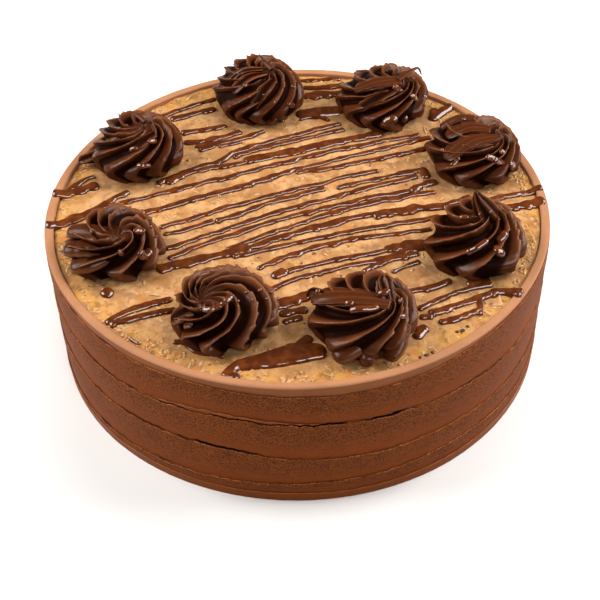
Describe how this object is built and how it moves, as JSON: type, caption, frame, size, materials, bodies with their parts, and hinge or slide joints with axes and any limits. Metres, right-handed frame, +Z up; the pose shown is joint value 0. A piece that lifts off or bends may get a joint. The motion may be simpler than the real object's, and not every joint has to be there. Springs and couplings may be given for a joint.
{
  "type": "german chocolate cake",
  "caption": "Round iced chocolate layer cake, uncut, with combed sides, a coconut and pecan top, chocolate drizzle and a ring of piped rosettes.",
  "frame": {"origin": "centre of the foot, on the surface that the cake stands on", "axes": "+Z up, front at -Y as in the picture"},
  "size_m": [0.2544, 0.2544, 0.1149],
  "materials": {
    "icing": "satin milk chocolate buttercream with fine pores",
    "topping": "moist shredded coconut and pecan custard with glossy chocolate drizzle",
    "piping": "glossy dark chocolate icing"
  },
  "bodies": {
    "root": {"iced_cake": "icing", "coconut_topping": "topping", "rosette_1": "piping", "rosette_2": "piping", "rosette_3": "piping", "rosette_4": "piping", "rosette_5": "piping", "rosette_6": "piping", "rosette_7": "piping", "rosette_8": "piping"}
  },
  "joints": []
}
